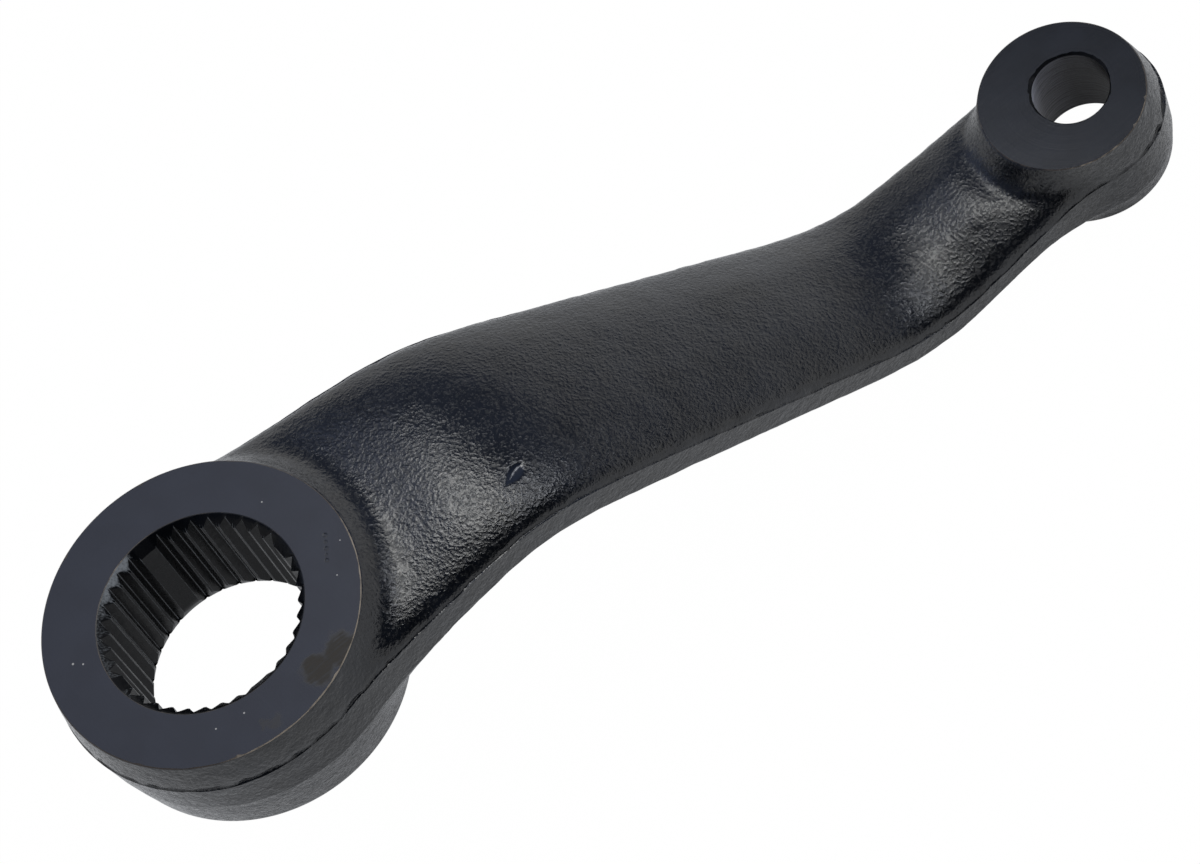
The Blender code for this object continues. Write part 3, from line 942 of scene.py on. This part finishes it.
def object_place(tree):
    return add_node(tree, "ShaderNodeTexCoord").outputs["Object"]


def wear_and_sheen_value(tree):
    return add_node(tree, "ShaderNodeAttribute", attribute_name="wear_and_sheen").outputs["Fac"]


def stretched(tree, place, scale, turn=0.0):
    """The place scaled along its axes, for noise drawn out into lines."""
    return add_node(tree, "ShaderNodeMapping", {
        "Vector": place, "Rotation": (0, 0, turn), "Scale": scale}).outputs[0]


def noise_height(tree, place, size, detail=3.0, rough=0.6, distortion=0.0):
    """Noise from 0 to 1 with features of about this size."""
    return add_node(tree, "ShaderNodeTexNoise", {
        "Vector": place, "Scale": 1 / size, "Detail": detail,
        "Roughness": rough, "Distortion": distortion}).outputs["Fac"]


def math_node(tree, operation, *values):
    made = add_node(tree, "ShaderNodeMath", operation=operation)
    fill(tree, made, enumerate(values))
    return made.outputs[0]


def between(tree, value, low, high, to_low=0.0, to_high=1.0):
    """value mapped smoothly from low..high onto to_low..to_high."""
    return add_node(tree, "ShaderNodeMapRange", {
        "Value": value, "From Min": low, "From Max": high,
        "To Min": to_low, "To Max": to_high}, interpolation_type="SMOOTHSTEP").outputs["Result"]


def mixed_colour(tree, share, first, second):
    return add_node(tree, "ShaderNodeMix", {"Factor": share, "A": first, "B": second},
                    data_type="RGBA").outputs["Result"]


def patchy_wear_and_sheen(tree, pattern, gain):
    """The mesh's wear and painted sheen, made uneven by a pattern from 0 to 1."""
    return math_node(tree, "MULTIPLY_ADD", math_node(tree, "SUBTRACT", pattern, 0.5), gain,
                     wear_and_sheen_value(tree))


def bump(tree, height, depth, normal=None):
    inputs = {"Height": height, "Distance": depth, "Strength": 1.0}
    if normal is not None:
        inputs["Normal"] = normal
    return add_node(tree, "ShaderNodeBump", inputs).outputs["Normal"]


def bent_place(tree, place, size, reach):
    """The place moved about by noise, for ragged outlines."""
    warp = add_node(tree, "ShaderNodeTexNoise", {
        "Vector": place, "Scale": 1 / size, "Detail": 1.0}).outputs["Color"]
    offset = add_node(tree, "ShaderNodeVectorMath", {0: warp, 1: (0.5, 0.5, 0.5)},
                      operation="SUBTRACT").outputs[0]
    return add_node(tree, "ShaderNodeVectorMath", {0: offset, 1: (reach, reach, reach), 2: place},
                    operation="MULTIPLY_ADD").outputs[0]


def spots(tree, place, marks, softness=0.3):
    """1 inside any of the (x, y, radius) marks at the hub's face, falling to 0 round them."""
    found = None
    for x, y, radius in marks:
        away = add_node(tree, "ShaderNodeVectorMath", {0: place, 1: (x, y, HUB.top)},
                        operation="DISTANCE").outputs["Value"]
        inside = between(tree, away, radius * (1 + softness), radius * (1 - softness))
        found = inside if found is None else math_node(tree, "MAXIMUM", found, inside)
    return found


def turned_lines(tree, place, centre, size):
    """Rings of noise round a vertical axis, as a lathe leaves them."""
    away = add_node(tree, "ShaderNodeVectorMath", {0: place, 1: centre},
                    operation="DISTANCE").outputs["Value"]
    radius = add_node(tree, "ShaderNodeCombineXYZ", {"X": away}).outputs[0]
    return noise_height(tree, radius, size)


def forged_skin():
    """Gloss black paint over a rough forged skin, painted bluer in the dent as a painted
    reflection.
    """
    material, tree, shader = new_material("forged_black_paint")
    place = object_place(tree)
    grain = noise_height(tree, bent_place(tree, place, GRAIN_BEND_SIZE, GRAIN_BEND),
                         GRAIN_SIZE, rough=0.5)
    grain = add_node(tree, "ShaderNodeMix", {"Factor": wear_and_sheen_value(tree), "A": grain, "B": 0.5},
                     data_type="FLOAT").outputs["Result"]
    wrinkle = noise_height(tree, place, WRINKLE_SIZE, rough=0.55, distortion=0.4)
    facing = add_node(tree, "ShaderNodeSeparateXYZ", {
        0: add_node(tree, "ShaderNodeTexCoord").outputs["Normal"]}).outputs["Z"]
    wrinkle_depth = between(tree, math_node(tree, "ABSOLUTE", facing), WALL_FACING, FLAT_FACING,
                            WRINKLE_ON_WALL, WRINKLE_ON_FLAT)
    normal = bump(tree, grain, GRAIN_DEPTH, bump(tree, wrinkle, wrinkle_depth))
    patch = noise_height(tree, place, PAINT_PATCH_SIZE)
    paint = mixed_colour(tree, between(tree, patch, 0.3, 0.7), PAINT_DEEP, PAINT_PALE)
    # The dent's share paints the dent bluer: a painted reflection.
    colour = mixed_colour(tree, wear_and_sheen_value(tree), paint, DENT_REFLECTION_BLUE)
    along = add_node(tree, "ShaderNodeSeparateXYZ", {0: place}).outputs["X"]
    roughness = math_node(
        tree, "ADD", between(tree, grain, GRAIN_LOW, GRAIN_HIGH, PIT_ROUGHNESS, SWELL_ROUGHNESS),
        between(tree, along, DULL_FROM, DULL_TO, 0.0, DULLED))
    fill(tree, shader, {"Normal": normal, "Base Color": colour, "Roughness": roughness})
    return material


def machined_face_paint():
    """The same paint over a machined face: smooth, faintly drawn, with a few marks."""
    material, tree, shader = new_material("machined_black_paint")
    place = object_place(tree)
    haze = noise_height(tree, place, HAZE_SIZE, rough=0.5)
    drawn = noise_height(tree, stretched(tree, place, (0.10, 1, 1), STREAK_TURN), STREAK_SIZE)
    lathe = turned_lines(tree, place, (EYE.x, 0.0, EYE.top), LATHE_SIZE)
    normal = bump(tree, haze, HAZE_DEPTH)
    normal = bump(tree, drawn, STREAK_DEPTH, normal)
    normal = bump(tree, lathe, LATHE_DEPTH, normal)
    normal = bump(tree, spots(tree, place, TICKS), TICK_DEPTH, normal)
    paint = mixed_colour(tree, between(tree, haze, 0.3, 0.7), PAINT_DEEP, PAINT_PALE)
    ragged = bent_place(tree, place, 1.8 * MM, 2.4 * MM)
    stain = math_node(tree, "MULTIPLY", between(tree, drawn, 0.3, 0.6, 0.5, 1.0),
                      math_node(tree, "MAXIMUM", spots(tree, ragged, BROWN_PATCHES, 0.35),
                                math_node(tree, "MULTIPLY", spots(tree, ragged, SMUDGES), 0.4)))
    stained = mixed_colour(tree, stain, paint, STAIN_BROWN)
    colour = mixed_colour(tree, spots(tree, place, SPECKS), stained, SPECK_GREY)
    dull = between(tree, stain, 0.0, 1.0, FACE_ROUGHNESS, STAIN_ROUGHNESS)
    fill(tree, shader, {"Normal": normal, "Base Color": colour, "Roughness": dull})
    return material


def worn_rim():
    """Paint worn thin along the machined edges: dark brown with cream runs."""
    material, tree, shader = new_material("worn_edge")
    runs = noise_height(tree, object_place(tree), 2.6 * MM, 4.0, 0.7)
    wear_and_sheen_share = patchy_wear_and_sheen(tree, runs, 1.3)
    brown = mixed_colour(tree, between(tree, wear_and_sheen_share, 0.15, 0.45), PAINT_DEEP, BARE_BROWN)
    colour = mixed_colour(tree, between(tree, wear_and_sheen_share, 0.55, 0.95), brown, BARE_CREAM)
    fill(tree, shader, {"Base Color": colour, "Roughness": 0.5})
    return material


def bore_paint():
    """Thin paint in the splined bore, darker than the outer paint as a painted shade, turned steel
    grey along the groove roots and land edges as painted highlight lines, and on part of the
    chamfer as wear with a painted highlight.
    """
    material, tree, shader = new_material("bore_black_paint")
    place = object_place(tree)
    runs = noise_height(tree, place, 1.2 * MM)
    drawn = noise_height(tree, stretched(tree, place, (1, 1, 0.12)), 0.28 * MM)
    shown = between(tree, patchy_wear_and_sheen(tree, drawn, 0.9), 0.12, 0.75)
    fill(tree, shader, {
        "Normal": bump(tree, drawn, 0.025 * MM),
        "Base Color": mixed_colour(tree, shown, BORE_SHADE_BLACK, STEEL_WEAR_AND_HIGHLIGHT),
        "Roughness": between(tree, runs, 0.3, 0.7, 0.24, 0.36),
        "Specular IOR Level": THIN_PAINT_SPECULAR})
    return material


def small_bore_paint_and_reflection():
    """Thin paint over reamed steel with rings left by the reamer, painted pale on the hub's side of
    the wall as a painted reflection of the bright floor, and dark on the other side.
    """
    material, tree, shader = new_material("small_bore_paint_and_reflection")
    rings = noise_height(tree, stretched(tree, object_place(tree), (0.06, 0.06, 1)), 0.42 * MM)
    # Painted reflection: the wall is painted pale where the table says, broken up by the reamer's
    # rings.
    shown = math_node(tree, "MULTIPLY", wear_and_sheen_value(tree), between(tree, rings, 0.3, 0.7, 0.5, 1.1))
    fill(tree, shader, {
        "Normal": bump(tree, rings, 0.15 * MM),
        "Base Color": mixed_colour(tree, shown, REAMED_DEEP, BORE_REFLECTION_PALE),
        "Roughness": 0.36, "Specular IOR Level": REAMED_SPECULAR})
    return material


def clotted_paint():
    """Thick dull runs of paint."""
    material, tree, shader = new_material("clotted_black_paint")
    runs = noise_height(tree, object_place(tree), 0.7 * MM)
    fill(tree, shader, {"Normal": bump(tree, runs, 0.12 * MM), "Base Color": PAINT_DEEP,
                        "Roughness": 0.4, "Specular IOR Level": THIN_PAINT_SPECULAR})
    return material


# Stage, light and camera

ROOM_FILL = (0.55, 0.58, 0.64, 1.0)
WHITE = (1.0, 1.0, 1.0, 1.0)

# The floor's half size, its gap below the forging, and the share of its glow that
# reflections see, with what the camera sees on top of that
FLOOR_HALF_SIZE = 3.0
FLOOR_GAP = 0.2 * MM
FLOOR_GLOW = 0.3
FLOOR_CAMERA_GLOW = 0.695

# Softboxes overhead and beyond the eye, and plain cards that only the gloss sees, dark on
# the camera's side.  The canopy is a dark cloth over it all.  Each has its azimuth,
# elevation, distance, roll, (width, height) and radiance.
SOFTBOXES = {
    "overhead_softbox": (37.0, 72.0, 0.643, -14.0, (0.40, 0.125), (9.6, 9.6, 9.3)),
    "end_softbox": (-5.0, 51.0, 0.75, 0.0, (0.16, 0.24), (6.0, 6.2, 6.6))}
CARDS = {
    "camera_side_card": (-76.0, 50.0, 0.62, 0.0, (1.403, 0.700), (0.0, 0.0, 0.0)),
    "left_side_card": (-120.0, 3.5, 0.62, 0.0, (0.596, 0.560), (0.0, 0.0, 0.0)),
    "hub_side_card": (102.0, 60.5, 0.61, 0.0, (0.19, 0.18), (1.00, 1.08, 1.40)),
    "far_side_card": (116.3, 41.2, 0.68, -62.0, (1.135, 0.385), (0.42, 0.50, 0.74)),
    "canopy": (0.0, 89.9, 0.95, 0.0, (5.4, 5.4), (0.150, 0.180, 0.270))}


def rotation_from_vector(turn):
    return Matrix.Rotation(turn.length, 3, turn.normalized())


def add_camera():
    """The photograph's camera: right, up and back are rows of its turn."""
    turn = rotation_from_vector(CAMERA_TURN)
    data = bpy.data.cameras.new("photo_camera")
    data.sensor_width = SENSOR_WIDTH
    data.lens = SENSOR_WIDTH * CAMERA_FOCAL_PIXELS / PHOTO_WIDTH
    data.clip_start, data.clip_end = 0.05, 20.0
    camera = new_object("photo_camera", data)
    right, up, back = turn[0], -turn[1], -turn[2]
    axes = Matrix((right, up, back)).transposed().to_4x4()
    place = -(turn.transposed() @ CAMERA_SHIFT)
    camera.matrix_world = Matrix.Translation(place) @ axes
    bpy.context.scene.camera = camera


def backdrop_rays(tree):
    """1 for rays that should meet a plain white backdrop: camera, glossy, transmission."""
    path = add_node(tree, "ShaderNodeLightPath")
    seen = math_node(tree, "MAXIMUM", path.outputs["Is Camera Ray"], path.outputs["Is Glossy Ray"])
    return math_node(tree, "MAXIMUM", seen, path.outputs["Is Transmission Ray"])


def add_world():
    world = bpy.data.worlds.new("studio")
    world.use_nodes = True
    bpy.context.scene.world = world
    tree = world.node_tree
    colour = mixed_colour(tree, backdrop_rays(tree), ROOM_FILL, WHITE)
    fill(tree, tree.nodes["Background"], {"Color": colour, "Strength": 1.0})


def floor_paint():
    """A pale floor that glows to white for the camera and still takes the shadow."""
    material, tree, shader = new_material("pale_floor")
    fill(tree, shader, {"Base Color": (0.8, 0.8, 0.8, 1.0), "Roughness": 0.9})
    glow = add_node(tree, "ShaderNodeEmission", {"Color": WHITE, "Strength": 1.0})
    path = add_node(tree, "ShaderNodeLightPath")
    share = math_node(tree, "MULTIPLY_ADD", path.outputs["Is Camera Ray"], FLOOR_CAMERA_GLOW,
                      math_node(tree, "MULTIPLY", backdrop_rays(tree), FLOOR_GLOW))
    mix = add_node(tree, "ShaderNodeMixShader", {
        0: share, 1: shader.outputs[0], 2: glow.outputs[0]})
    output = next(n for n in tree.nodes if n.type == "OUTPUT_MATERIAL")
    fill(tree, output, {"Surface": mix.outputs[0]})
    return material


def card_paint(name, colour):
    """A plain glow with no shine of its own."""
    material, tree, shader = new_material(name)
    fill(tree, shader, {"Base Color": (0.0, 0.0, 0.0, 1.0), "Specular IOR Level": 0.0,
                        "Emission Color": (*colour, 1.0), "Emission Strength": 1.0})
    return material


def add_panel(name, half_width, half_height, material):
    """A flat rectangle in the stage, facing up until it is turned."""
    mesh = bpy.data.meshes.new(name)
    corners = [(-half_width, -half_height, 0), (half_width, -half_height, 0),
               (half_width, half_height, 0), (-half_width, half_height, 0)]
    mesh.from_pydata(corners, [], [(0, 1, 2, 3)])
    mesh.materials.append(material)
    panel = new_object(name, mesh)
    return panel


def add_floor():
    floor = add_panel("floor", FLOOR_HALF_SIZE, FLOOR_HALF_SIZE, floor_paint())
    floor.location.z = cad_low.z - FLOOR_GAP


def sky_point(azimuth, elevation, distance):
    """A point this far from the middle of the object, at angles in degrees."""
    a, e = math.radians(azimuth), math.radians(elevation)
    middle = (cad_low + cad_high) / 2
    return middle + distance * Vector((math.cos(e) * math.cos(a), math.cos(e) * math.sin(a),
                                       math.sin(e)))


def aim(thing, azimuth, elevation, distance, roll):
    """Places a thing on the studio's dome, turned to the object, its height upward."""
    place = sky_point(azimuth, elevation, distance)
    back = (place - (cad_low + cad_high) / 2).normalized()
    across = Vector((0, 0, 1)).cross(back).normalized()
    axes = Matrix((across, back.cross(across), back)).transposed().to_4x4()
    thing.matrix_world = (Matrix.Translation(place) @ axes
                          @ Matrix.Rotation(math.radians(roll), 4, "Z"))


def add_softbox(name, azimuth, elevation, distance, roll, size, radiance):
    """A soft area light of a plain radiance, which the camera doesn't see."""
    width, height = size
    level = max(radiance)
    data = bpy.data.lights.new(name, "AREA")
    data.shape = "RECTANGLE"
    data.size, data.size_y = width, height
    data.energy = level * math.pi * width * height
    data.color = [channel / level for channel in radiance]
    lamp = new_object(name, data)
    aim(lamp, azimuth, elevation, distance, roll)
    lamp.visible_camera = False


def add_card(name, azimuth, elevation, distance, roll, size, colour):
    """A studio card of a plain brightness that only the gloss of the paint sees."""
    card = add_panel(name, size[0] / 2, size[1] / 2, card_paint(name, colour))
    aim(card, azimuth, elevation, distance, roll)
    for ray in ("camera", "diffuse", "transmission", "shadow", "volume_scatter"):
        setattr(card, "visible_" + ray, False)


def add_lights():
    for name, setting in SOFTBOXES.items():
        add_softbox(name, *setting)
    for name, setting in CARDS.items():
        add_card(name, *setting)


def main():
    mesh, band_edges = finished_mesh()
    shade(mesh, band_edges)
    for material in (forged_skin(), machined_face_paint(), worn_rim(), bore_paint(),
                     clotted_paint(), small_bore_paint_and_reflection()):
        mesh.materials.append(material)
    forging = new_object("pitman_arm_forging", mesh)
    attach(forging, "root")
    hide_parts(NODE)
    bpy.context.scene.view_settings.view_transform = "Standard"
    add_world()
    add_floor()
    add_lights()
    add_camera()


main()
